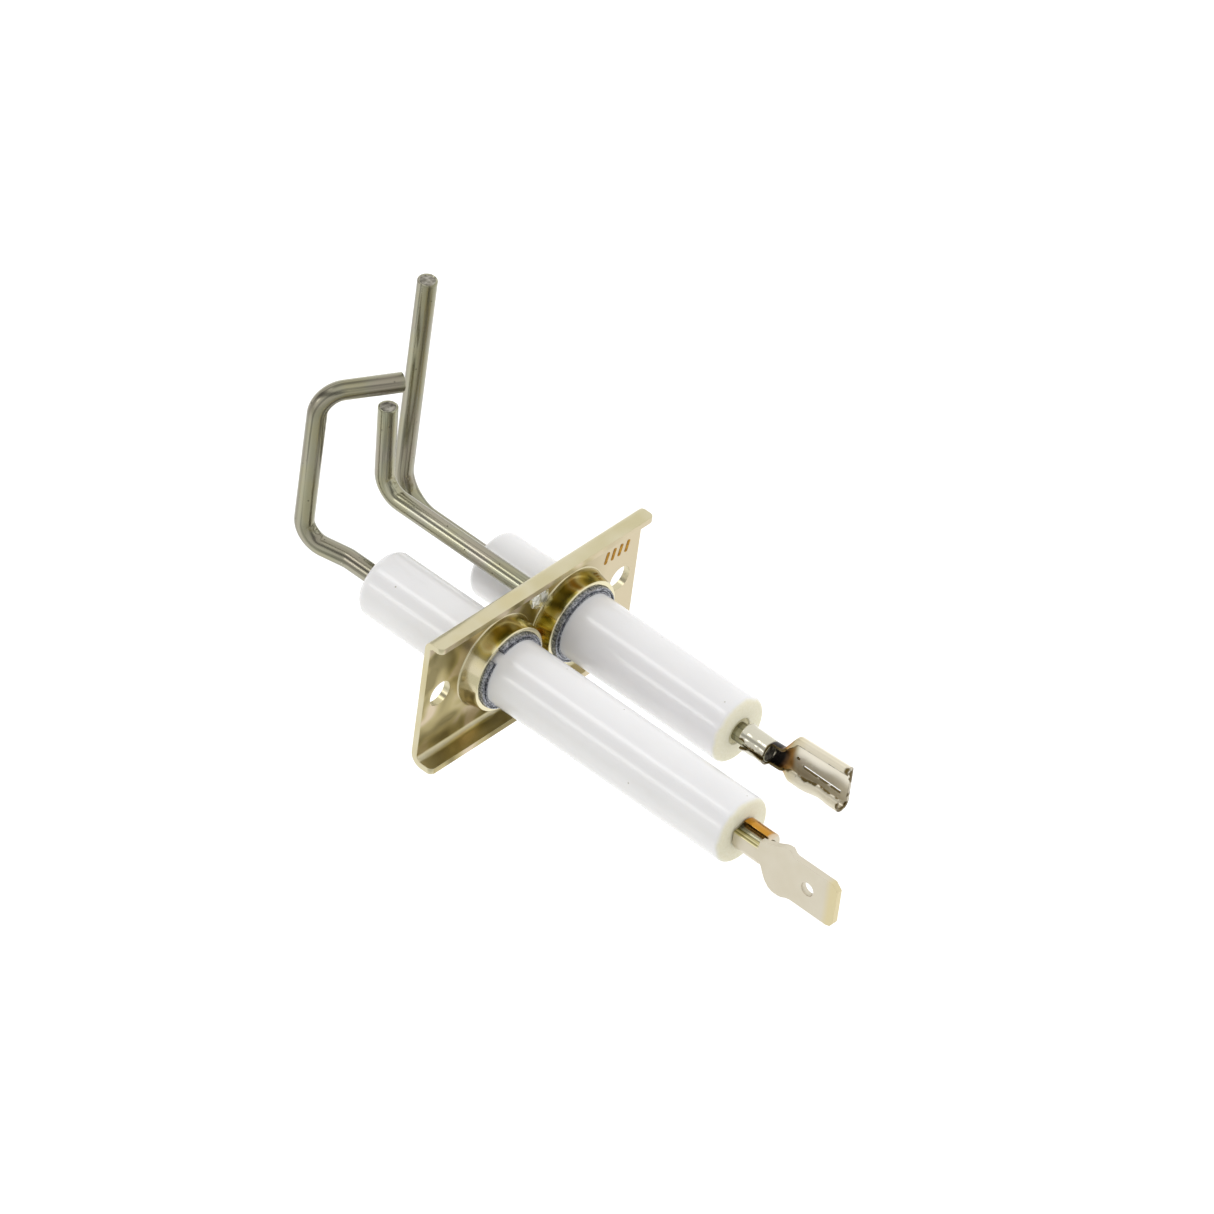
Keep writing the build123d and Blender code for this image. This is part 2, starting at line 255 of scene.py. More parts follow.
def passivated_zinc():
    """Bright zinc plating with a yellow chromate dip, on cold-rolled steel sheet.

    Pale straw where it faces the light, with faint clouding from the dip and a soft, slightly drawn-out
    gloss from the rolled sheet; the gold and olive in the collars and the olive on the web are painted
    reflections.
    """
    m, shader = started("yellow passivated zinc plate", Metallic=1.0)
    place = add(m, "TexCoord").outputs["Object"]
    dip = add(m, "TexNoise", {"Vector": place, "Scale": 160.0, "Detail": 2.0})
    straw = [(0.3, "#C4BB97"), (0.5, "#CCC4A6"), (0.7, "#C6BB92")]
    sheet_colour = add(m, "ValToRGB", {"Fac": dip}, straw)
    # In and round the drawn collars the sheet is painted a deeper gold: a painted reflection of the
    # gold sheet in itself.
    axes = add(m, "SeparateXYZ", {"Vector": place})
    depth = add(
        m, "MapRange", {"Value": axes.outputs["Y"], "From Min": -0.9 * MM, "From Max": -1.5 * MM}
    )
    height = add(m, "Math", {0: axes.outputs["Z"]}, operation="ABSOLUTE")
    inside = add(m, "MapRange", {"Value": height, "From Min": 7.4 * MM, "From Max": 6.6 * MM})
    drawn = add(m, "Math", {0: depth, 1: inside}, operation="MULTIPLY")
    # This painted reflection runs from dark olive through gold to pale straw in stripes about 2 mm
    # wide.
    reflection_bands = add(m, "TexNoise", {"Vector": place, "Scale": 330.0, "Detail": 1.0})
    painted_reflection_golds = [(0.34, "#6E6730"), (0.43, "#AB9C48"), (0.5, "#D2BE6C")]
    painted_reflection_golds += [(0.58, "#E6DDB4"), (0.68, "#C08F34")]
    gold = add(m, "ValToRGB", {"Fac": reflection_bands}, painted_reflection_golds)
    # The web is painted with a reflection of shade: olive at its left end, pinkish beige here and
    # there, pale at its right.
    web_reflection_noise = add(m, "TexNoise", {"Vector": place, "Scale": 230.0, "Detail": 1.0, "Distortion": 0.6})
    web_reflection_stops = [(0.36, "#82764A"), (0.5, "#AC9F70"), (0.64, "#CBBBA0")]
    web_reflection = add(m, "ValToRGB", {"Fac": web_reflection_noise}, web_reflection_stops)
    along = add(m, "MapRange", {"Value": axes.outputs["X"], "From Min": 2 * MM, "From Max": 13 * MM})
    web_reflection = add(m, "Mix", {0: along, 6: web_reflection, 7: colour("#C7BA9C")}, data_type="RGBA")
    front = add(m, "NewGeometry").outputs["Normal"]
    turned_out = add(m, "SeparateXYZ", {"Vector": front}).outputs["Y"]
    on_web = add(m, "MapRange", {"Value": turned_out, "From Min": -0.9, "From Max": -0.98})
    skin = add(m, "Mix", {0: on_web, 6: sheet_colour, 7: web_reflection}, data_type="RGBA")
    # On the side of the front collar that faces out of the plate, the painted gold gives way to pale
    # straw.
    paler = add(
        m,
        "MapRange",
        {"Value": axes.outputs["X"], "From Min": front_x - 3.2 * MM, "From Max": front_x - 5.2 * MM},
    )
    gold = add(m, "Mix", {0: paler, 6: gold, 7: colour("#DCD2B2")}, data_type="RGBA")
    skin = add(m, "Mix", {0: drawn, 6: skin, 7: gold}, data_type="RGBA")
    rim = add(
        m, "MapRange", {"Value": axes.outputs["Y"], "From Min": -3.1 * MM, "From Max": -3.25 * MM}
    )
    rim_here = add(m, "Math", {0: rim, 1: inside}, operation="MULTIPLY")
    skin = add(m, "Mix", {0: rim_here, 6: skin, 7: colour("#DED6B4")}, data_type="RGBA")
    # Rolling marks about 0.15 mm apart, drawn out along the sheet.
    stretched = add(m, "Mapping", {"Vector": place, "Scale": (1.0, 12.0, 12.0)})
    lines = add(m, "TexNoise", {"Vector": stretched, "Scale": 500.0, "Detail": 3.0})
    bump = add(m, "Bump", {"Height": lines, "Strength": 0.06, "Distance": 0.02 * MM})
    rough = add(m, "MapRange", {"Value": drawn, "To Min": 0.28, "To Max": 0.13})
    wire_up(m, shader, Base_Color=skin, Roughness=rough, Normal=bump)
    return m


def glazed_ceramic():
    """Fired alumina-silicate tube under a clear white glaze: milky, glossy, faintly wavy."""
    m, shader = started("white glazed ceramic", IOR=1.52)
    shader.inputs["Subsurface Weight"].default_value = 0.15
    shader.inputs["Subsurface Radius"].default_value = (1.0, 0.9, 0.8)
    shader.inputs["Subsurface Scale"].default_value = 0.6 * MM
    place = add(m, "TexCoord").outputs["Object"]
    bare = add(m, "Attribute", attribute_name="bare").outputs["Fac"]
    cloud = add(m, "TexNoise", {"Vector": place, "Scale": 120.0, "Detail": 2.0})
    glaze = add(m, "ValToRGB", {"Fac": cloud}, [(0.3, "#F0EFF0"), (0.7, "#ECEBEC")])
    # Iron specks about 0.2 mm across, a few on each tube.
    specks = add(m, "TexVoronoi", {"Vector": place, "Scale": 260.0})
    speck = add(m, "MapRange", {"Value": specks, "From Min": 0.035, "From Max": 0.02})
    glaze = add(m, "Mix", {0: speck, 6: glaze, 7: colour("#B9B4A8")}, data_type="RGBA")
    grain = add(m, "TexNoise", {"Vector": place, "Scale": 3000.0, "Detail": 3.0})
    biscuit = add(m, "ValToRGB", {"Fac": grain}, [(0.3, "#E9E4CB"), (0.7, "#F0ECD8")])
    skin = add(m, "Mix", {0: bare, 6: glaze, 7: biscuit}, data_type="RGBA")
    rough = add(m, "MapRange", {"Value": bare, "To Min": 0.16, "To Max": 0.75})
    # Orange peel 2 mm across on the glaze, fired grain 0.1 mm across on the bare body.
    peel = add(m, "TexNoise", {"Vector": place, "Scale": 500.0, "Detail": 1.0})
    relief = add(m, "Mix", {0: bare, 2: peel, 3: grain})
    bump = add(m, "Bump", {"Height": relief, "Strength": 0.12, "Distance": 0.04 * MM})
    wire_up(m, shader, Base_Color=skin, Roughness=rough, Normal=bump)
    return m


def cement():
    """Fired insulating cement: cream, dull and gritty."""
    m, shader = started("fired insulating cement", Roughness=0.85)
    place = add(m, "TexCoord").outputs["Object"]
    grit = add(m, "TexNoise", {"Vector": place, "Scale": 4000.0, "Detail": 4.0})
    skin = add(m, "ValToRGB", {"Fac": grit}, [(0.3, "#CFC6A0"), (0.5, "#DCD5B2"), (0.7, "#E6E0C4")])
    bump = add(m, "Bump", {"Height": grit, "Strength": 0.5, "Distance": 0.06 * MM})
    wire_up(m, shader, Base_Color=skin, Normal=bump)
    return m


def drawn_wire():
    """Heat-resistant iron-chromium wire, drawn through a die: grey-olive with fine lengthwise lines."""
    m, shader = started("drawn heat-resistant wire", Metallic=1.0)
    stock = add(m, "Attribute", attribute_name="stock").outputs["Vector"]
    # Drawing lines about 0.1 mm apart that run on for 20 mm or so.
    along = add(m, "Mapping", {"Vector": stock, "Scale": (0.02, 1.0, 1.0)})
    lines = add(m, "TexNoise", {"Vector": along, "Scale": 2200.0, "Detail": 3.0})
    broad = add(m, "TexNoise", {"Vector": along, "Scale": 700.0, "Detail": 1.0})
    skin = add(m, "ValToRGB", {"Fac": broad}, [(0.3, "#7E7B6E"), (0.5, "#989586"), (0.7, "#A9A79A")])
    # Straw, green and rose tints left by the heat, each a few millimetres long.
    heat = add(m, "TexNoise", {"Vector": stock, "Scale": 190.0, "Detail": 1.0, "Distortion": 0.5})
    tints = [(0.35, "#C0C7A4"), (0.47, "#D2CC9C"), (0.56, "#C8CAB6"), (0.66, "#CDC0BC")]
    tint = add(m, "ValToRGB", {"Fac": heat}, tints)
    tinted = add(m, "Mix", {0: 1.0, 6: skin, 7: tint}, data_type="RGBA", blend_type="SOFT_LIGHT")
    skin = add(m, "Mix", {0: 0.4, 6: skin, 7: tinted}, data_type="RGBA")
    dark = add(m, "MapRange", {"Value": lines, "From Min": 0.34, "From Max": 0.46, "To Min": 0.55})
    skin = add(m, "Mix", {0: 1.0, 6: skin, 7: dark}, data_type="RGBA", blend_type="MULTIPLY")
    # Pits 0.15 mm across, a few to the centimetre.
    pits = add(m, "TexVoronoi", {"Vector": stock, "Scale": 900.0})
    pit = add(m, "MapRange", {"Value": pits, "From Min": 0.06, "From Max": 0.1})
    skin = add(m, "Mix", {0: pit, 6: colour("#4A463A"), 7: skin}, data_type="RGBA")
    rough = add(m, "MapRange", {"Value": lines, "To Min": 0.34, "To Max": 0.14})
    bump = add(m, "Bump", {"Height": lines, "Strength": 0.25, "Distance": 0.02 * MM})
    wire_up(m, shader, Base_Color=skin, Roughness=rough, Normal=bump)
    return m


def sheared_end():
    """The wire's end as the cropping tool left it: torn grain, grey and dull."""
    m, shader = started("sheared wire end", Metallic=1.0, Roughness=0.5)
    place = add(m, "TexCoord").outputs["Object"]
    grain = add(m, "TexNoise", {"Vector": place, "Scale": 1800.0, "Detail": 4.0})
    skin = add(m, "ValToRGB", {"Fac": grain}, [(0.35, "#5B5850"), (0.5, "#8B877C"), (0.65, "#B4B0A6")])
    bump = add(m, "Bump", {"Height": grain, "Strength": 0.7, "Distance": 0.08 * MM})
    wire_up(m, shader, Base_Color=skin, Normal=bump)
    return m


def packing_steel():
    """Thin slit steel strip, dark with oil from being pressed in: graphite grey, scuffed silver."""
    m, shader = started("oiled packing strip", Metallic=1.0)
    place = add(m, "TexCoord").outputs["Object"]
    scuffs = add(m, "TexNoise", {"Vector": place, "Scale": 4200.0, "Detail": 4.0})
    skin = add(m, "ValToRGB", {"Fac": scuffs}, [(0.38, "#5C5E64"), (0.5, "#85878E"), (0.62, "#B5B7BD")])
    rough = add(m, "MapRange", {"Value": scuffs, "To Min": 0.5, "To Max": 0.25})
    bump = add(m, "Bump", {"Height": scuffs, "Strength": 0.4, "Distance": 0.04 * MM})
    wire_up(m, shader, Base_Color=skin, Roughness=rough, Normal=bump)
    return m


def weld_metal():
    """Resistance-weld splash: frozen silver metal with a fine rippled skin."""
    m, shader = started("weld splash", Metallic=0.7, Roughness=0.22)
    place = add(m, "TexCoord").outputs["Object"]
    ripple = add(m, "TexNoise", {"Vector": place, "Scale": 1500.0, "Detail": 3.0})
    skin = add(m, "ValToRGB", {"Fac": ripple}, [(0.3, "#C9C7BA"), (0.55, "#E6E5DA"), (0.7, "#F4F3EC")])
    bump = add(m, "Bump", {"Height": ripple, "Strength": 0.4, "Distance": 0.08 * MM})
    wire_up(m, shader, Base_Color=skin, Normal=bump)
    return m


def tab_plating():
    """Rolled brass strip, nickel-tinned and then yellowed by the same dip as the plate.

    Strip and blade are a soft matt beige; the crimped barrel carries painted reflection streaks, amber
    on its far wall.
    """
    m, shader = started("plated brass tab", Metallic=1.0)
    place = add(m, "TexCoord").outputs["Object"]
    axes = add(m, "SeparateXYZ", {"Vector": place})
    crimp_end, tip = tab_high.y - tab_barrel_length, tab_low.y
    barrel = add(
        m,
        "MapRange",
        {
            "Value": axes.outputs["Y"],
            "From Min": crimp_end - 0.1 * MM,
            "From Max": crimp_end + 0.3 * MM,
        },
    )
    above_strip = add(
        m, "MapRange", {"Value": axes.outputs["Z"], "From Min": 1.1 * MM, "From Max": 1.25 * MM}
    )
    barrel = add(m, "Math", {0: barrel, 1: above_strip}, operation="MULTIPLY")
    cloud = add(m, "TexNoise", {"Vector": place, "Scale": 260.0, "Detail": 2.0})
    blade = add(m, "ValToRGB", {"Fac": cloud}, [(0.3, "#CEC6B3"), (0.7, "#D4CDBD")])
    # Painted reflection streaks 0.3 mm wide along the barrel, dark olive to near white.
    drawn = add(m, "Mapping", {"Vector": place, "Scale": (1.0, 0.02, 1.0)})
    streaks = add(m, "TexNoise", {"Vector": drawn, "Scale": 2200.0, "Detail": 1.0})
    reflection_streak_stops = [(0.34, "#5F5A2E"), (0.45, "#BDB382"), (0.55, "#EAE4C2"), (0.66, "#8C8048")]
    gold = add(m, "ValToRGB", {"Fac": streaks}, reflection_streak_stops)
    far_wall = add(
        m,
        "MapRange",
        {"Value": axes.outputs["X"], "From Min": front_x - 0.9 * MM, "From Max": front_x - 0.2 * MM},
    )
    gold = add(m, "Mix", {0: far_wall, 6: gold, 7: colour("#C08A34")}, data_type="RGBA")
    # The dip gathered along the blade's last millimetre or so.
    gathered = add(
        m,
        "MapRange",
        {"Value": axes.outputs["Y"], "From Min": tip + 1.8 * MM, "From Max": tip + 0.9 * MM},
    )
    blade = add(m, "Mix", {0: gathered, 6: blade, 7: colour("#D4C8A2")}, data_type="RGBA")
    skin = add(m, "Mix", {0: barrel, 6: blade, 7: gold}, data_type="RGBA")
    rough = add(m, "MapRange", {"Value": barrel, "To Min": 0.42, "To Max": 0.16})
    # Fine rolled grain 0.1 mm across on the strip.
    grain = add(m, "TexNoise", {"Vector": place, "Scale": 5000.0, "Detail": 2.0})
    bump = add(m, "Bump", {"Height": grain, "Strength": 0.08, "Distance": 0.02 * MM})
    wire_up(m, shader, Base_Color=skin, Roughness=rough, Normal=bump)
    return m


def receptacle_plating():
    """Tinned spring brass, burnt black by the weld on its neck and tinted orange beside it."""
    m, shader = started("tinned brass receptacle", Metallic=0.6)
    place = add(m, "TexCoord").outputs["Object"]
    axes = add(m, "SeparateXYZ", {"Vector": place})
    wander = add(m, "TexNoise", {"Vector": place, "Scale": 500.0, "Detail": 2.0})
    spread = add(m, "MapRange", {"Value": wander, "To Min": -0.5 * MM, "To Max": 0.5 * MM})
    along = add(m, "Math", {0: axes.outputs["Y"], 1: spread}, operation="ADD")
    neck_high = receptacle_high.y - 3.4 * MM
    reach = 4.4 * MM
    burn = add(m, "MapRange", {"Value": along, "From Min": neck_high, "From Max": neck_high - reach})
    burnt = [(0.0, "#CFCBBA"), (0.05, "#2A2422"), (0.3, "#16120F"), (0.42, "#5A3C18")]
    burnt += [(0.52, "#B98A48"), (0.64, "#D2C6A4"), (1.0, "#DAD2BD")]
    heat = add(m, "ValToRGB", {"Fac": burn}, burnt)
    # A ragged dark brown band about 0.3 mm wide along the sheet's free edges: painted shade in the
    # seams where the rolls' edges meet the floor, and dark deposit on the cut edges.
    torn = add(m, "TexNoise", {"Vector": place, "Scale": 1100.0, "Detail": 3.0})
    ragged = add(m, "MapRange", {"Value": torn, "From Min": 0.4, "From Max": 0.62, "To Max": 0.036})
    from_edge = add(m, "Attribute", attribute_name="from_edge").outputs["Fac"]
    inward = add(m, "Math", {0: from_edge, 1: ragged}, operation="SUBTRACT")
    seam_shade_and_flux = add(m, "MapRange", {"Value": inward, "From Min": 0.01, "From Max": -0.01})
    # The floor between the rolls is painted a paler tin colour: painted light.
    floor_here = add(
        m,
        "MapRange",
        {
            "Value": axes.outputs["X"],
            "From Min": rear_x + wire_radius + 0.1 * MM,
            "From Max": rear_x + wire_radius + 0.35 * MM,
        },
    )
    clean = add(m, "MapRange", {"Value": burn, "From Min": 0.5, "From Max": 0.7})
    tinned = add(m, "Math", {0: floor_here, 1: clean}, operation="MULTIPLY")
    # Painted light on the floor between the rolls.
    heat = add(m, "Mix", {0: tinned, 6: heat, 7: colour("#F6F0E0")}, data_type="RGBA")
    # Painted shade along the seams, in dark brown.
    heat = add(m, "Mix", {0: seam_shade_and_flux, 6: heat, 7: colour("#5E4E24")}, data_type="RGBA")
    rough = add(m, "ValToRGB", {"Fac": burn}, [(0.0, 0.12), (0.2, 0.3), (0.5, 0.35), (1.0, 0.3)])
    grain = add(m, "TexNoise", {"Vector": place, "Scale": 3500.0, "Detail": 2.0})
    bump = add(m, "Bump", {"Height": grain, "Strength": 0.1, "Distance": 0.02 * MM})
    wire_up(m, shader, Base_Color=heat, Roughness=rough, Normal=bump)
    return m


def stamping_ink():
    """Amber marking lacquer, slightly worn at its edges."""
    m, shader = started("amber marking lacquer", Roughness=0.8)
    place = add(m, "TexCoord").outputs["Object"]
    wear = add(m, "TexNoise", {"Vector": place, "Scale": 3000.0, "Detail": 3.0})
    skin = add(m, "ValToRGB", {"Fac": wear}, [(0.3, "#9A6A08"), (0.55, "#B98512"), (0.75, "#CC9E30")])
    wire_up(m, shader, Base_Color=skin)
    return m


zinc = passivated_zinc()
ceramic = glazed_ceramic()
cement_material = cement()
wire_material = drawn_wire()
wire_end = sheared_end()
packing_material = packing_steel()
weld_material = weld_metal()
tab_material = tab_plating()
receptacle_material = receptacle_plating()
ink = stamping_ink()


# ---------------------------------------------------------------- pressed parts

def turned(name, x, profile, steps=128, turn=math.tau, lead=0.0):
    """A closed profile of (radius, y) points spun about the axis that runs along Y at x."""
    across, rise = math.cos(lead), math.sin(lead)
    obj = outline(name, [(x + r * across, y, r * rise) for r, y in profile], "NOTHING")
    edit_all()
    if turn < math.tau:
        bpy.ops.mesh.edge_face_add()
    bpy.ops.mesh.spin(steps=steps, angle=-turn, center=(x, 0, 0), axis=(0, 1, 0))
    bpy.ops.mesh.select_all(action="SELECT")
    bpy.ops.mesh.remove_doubles(threshold=SAME / 2)
    face_outwards()
    return obj


def combine(obj, other, operation):
    """Join or cut one closed piece with another, which is then used up."""
    modify(obj, "BOOLEAN", object=other, operation=operation, solver="EXACT")
    bpy.data.objects.remove(other)


def ease_edges(obj, width, degrees=40):
    """Take the sharpness off a piece's edges, as tumbling and plating do."""
    angle = math.radians(degrees)
    modify(obj, "BEVEL", width=width, segments=2, limit_method="ANGLE", angle_limit=angle)


def settle(obj, degrees):
    """Smooth a pressed piece and let its broad flat faces govern the shading at their borders."""
    smooth(obj, degrees)
    modify(obj, "WEIGHTED_NORMAL", keep_sharp=True)


def block(name, centre, size, turn=(0, 0, 0)):
    """A block of a size, turned about its centre."""
    bpy.ops.object.select_all(action="DESELECT")
    bpy.ops.mesh.primitive_cube_add(size=1, location=centre, rotation=turn)
    bpy.context.active_object.scale = size
    return placed(name)


def bar(name, centre, radius, length, turn, vertices):
    """A round bar, turned from upright."""
    bpy.ops.object.select_all(action="DESELECT")
    bpy.ops.mesh.primitive_cylinder_add(
        vertices=vertices, radius=radius, depth=length, location=centre, rotation=turn
    )
    return placed(name)


def arc(centre_radius, centre_y, radius, start, end, steps=6):
    """Profile points round an arc, from one angle to another in degrees."""
    angles = [math.radians(start + (end - start) * i / steps) for i in range(steps + 1)]
    return [(centre_radius + radius * math.cos(a), centre_y + radius * math.sin(a)) for a in angles]


def mounting_plate():
    """Sheet folded into a channel: two drawn collars, two screw holes and the earth wire's hole."""
    half = (plate_high.x - plate_low.x) / 2
    top_axis = plate_high.z - sheet - top_bend
    bottom_axis = plate_low.z + sheet + bottom_bend
    section = arc(-sheet - top_bend, top_axis, sheet + top_bend, 0, 90, 8)
    section += [(-top_lip_depth, plate_high.z), (-top_lip_depth, plate_high.z - sheet)]
    section += arc(-sheet - top_bend, top_axis, top_bend, 90, 0, 5)
    section += arc(-sheet - bottom_bend, bottom_axis, bottom_bend, 0, -90, 6)
    section += [(-bottom_lip_depth, plate_low.z + sheet), (-bottom_lip_depth, plate_low.z)]
    section += arc(-sheet - bottom_bend, bottom_axis, sheet + bottom_bend, -90, 0, 8)
    plate = outline("mounting_plate_pressing", [Vector((-half, y, z)) for y, z in section])
    edit_all()
    bpy.ops.mesh.extrude_region_move(TRANSFORM_OT_translate={"value": (2 * half, 0, 0)})
    face_outwards()
    bpy.ops.object.mode_set(mode="EDIT")
    pick(
        plate,
        "EDGE",
        lambda ends: abs(ends[0].z - ends[1].z) > sheet * 0.9
        and abs(ends[0].x - ends[1].x) < SAME
        and all(p.y < NEAR - top_lip_depth for p in ends),
    )
    bpy.ops.mesh.bevel(offset=lip_corner, segments=6)
    bpy.ops.object.mode_set(mode="OBJECT")
    ease_edges(plate, 0.08 * MM, 50)
    rim = plate_low.y
    collar_outer = insulator_radius + packing_total + collar_base_wall
    bore = insulator_radius + packing_total
    for x in (front_x, rear_x):
        outside = [(0.0, -sheet / 2), (collar_outer + collar_fillet, -sheet / 2)]
        outside += [(collar_outer + collar_fillet, -sheet)]
        outside += arc(collar_outer + collar_fillet, -sheet - collar_fillet, collar_fillet, 90, 165, 5)
        outside += arc(bore + collar_rim_wall - 0.15 * MM, rim + 0.15 * MM, 0.15 * MM, 0, -90, 5)
        outside += [(0.0, rim)]
        combine(plate, turned("collar", x, outside), "UNION")
    for x in (front_x, rear_x):
        inside = [(0.0, rim - 1 * MM), (bore + 0.2 * MM, rim - 1 * MM), (bore + 0.1 * MM, rim)]
        inside += [(bore, rim + 0.1 * MM)]
        inside += arc(bore + collar_entry, -collar_entry, collar_entry, 180, 90, 6)
        inside += [(bore + collar_entry, 1 * MM), (0.0, 1 * MM)]
        combine(plate, turned("bore", x, inside), "DIFFERENCE")
    for side in (-1, 1):
        hole = bar("hole", (side * hole_reach, -sheet / 2, 0), hole_radius, 4 * sheet, ALONG_Y, 64)
        combine(plate, hole, "DIFFERENCE")
    hole = bar("hole", (earth_x, -sheet / 2, earth_z), wire_radius, 4 * sheet, ALONG_Y, 64)
    combine(plate, hole, "DIFFERENCE")
    settle(plate, 30)
    finish(plate, zinc, "plated_sheet", "mounting_plate")


mounting_plate()


def tab_terminal():
    """A blanked tab: strip, neck, shoulders and blade in one, with its barrel rolled over the wire."""
    outer_x = front_x - wire_radius - tab_sheet
    face = tab_high.y
    middle = (tab_low.z + tab_high.z) / 2
    # The blank's outline in mm: how far along from the barrel's face, and how high.
    strip = [(0.05, -0.8), (4.1, -0.8)]
    neck = [(4.45, -1.2), (4.85, -2.1), (5.3, -2.85), (5.9, -3.45)]
    shoulder = [(6.5, -3.7), (7.3, -3.72), (7.9, -3.62), (8.5, -3.3)]
    blade = [(9.1, -3.13), (14.6, -3.15), (15.2, -2.95), (15.6, -2.35)]
    blade += [(15.6, 2.35), (14.75, 3.15), (9.1, 3.13)]
    upper_shoulder = [(8.75, 3.25), (8.45, 3.6), (8.25, 3.78), (7.6, 3.72), (7.0, 3.45), (6.4, 3.1)]
    upper_neck = [(5.6, 2.75), (4.5, 2.35), (3.9, 2.2)]
    upper_strip = [(3.8, 1.1), (0.05, 1.1)]
    edge = strip + neck + shoulder + blade + upper_shoulder + upper_neck + upper_strip
    blank = [Vector((outer_x, face - along * MM, middle + height * MM)) for along, height in edge]
    tab = outline("male_tab_blank", blank)
    edit_all()
    bpy.ops.mesh.extrude_region_move(TRANSFORM_OT_translate={"value": (tab_sheet, 0, 0)})
    face_outwards()
    centre = (outer_x + tab_sheet / 2, tab_low.y + tab_hole_from_end, middle)
    combine(tab, bar("hole", centre, tab_hole_radius, 4 * tab_sheet, ALONG_X, 48), "DIFFERENCE")
    ease_edges(tab, 0.07 * MM)
    gap = 2 * math.asin(tab_opening / 2 / (wire_radius + tab_sheet / 2))
    near, far = face, face - tab_barrel_length
    inside, outside = wire_radius + 0.01 * MM, wire_radius + tab_sheet
    profile = [(inside, near), (outside - 0.12 * MM, near), (outside - 0.03 * MM, near - 0.04 * MM)]
    profile += [(outside, near - 0.12 * MM), (outside, far + 0.12 * MM)]
    profile += [(outside - 0.03 * MM, far + 0.04 * MM), (outside - 0.12 * MM, far), (inside, far)]
    opening = math.radians(tab_opening_angle)
    barrel = turned("male_tab_barrel", front_x, profile, 72, math.tau - gap, opening + gap / 2)
    ease_edges(barrel, 0.06 * MM)
    combine(tab, barrel, "UNION")
    tab.name = "male_tab_pressing"
    settle(tab, 35)
    finish(tab, tab_material, "tab_brass", "tab_terminal")


tab_terminal()


def pressed_strip(name, across, along, formed, thickness):
    """A strip of sheet, pressed to a form that gives each point's place, and given its thickness."""
    bpy.ops.object.select_all(action="DESELECT")
    bpy.ops.mesh.primitive_grid_add(x_subdivisions=across, y_subdivisions=along, size=1)
    strip = placed(name)
    from_edge = strip.data.attributes.new("from_edge", "FLOAT", "POINT")
    for vertex in strip.data.vertices:
        u, v = vertex.co.x + 0.5, vertex.co.y + 0.5
        from_edge.data[vertex.index].value = min(u, 1 - u, 1 - v)
        vertex.co = formed(u, v)
    modify(strip, "SOLIDIFY", thickness=thickness, offset=0.0)
    edit_all()
    face_outwards()
    ease_edges(strip, 0.05 * MM, 60)
    smooth(strip, 40)
    return strip


def blend_between(value, low, high):
    """0 below low, 1 above high, and a smooth rise between them."""
    t = min(max((value - low) / (high - low), 0), 1)
    return t * t * (3 - 2 * t)


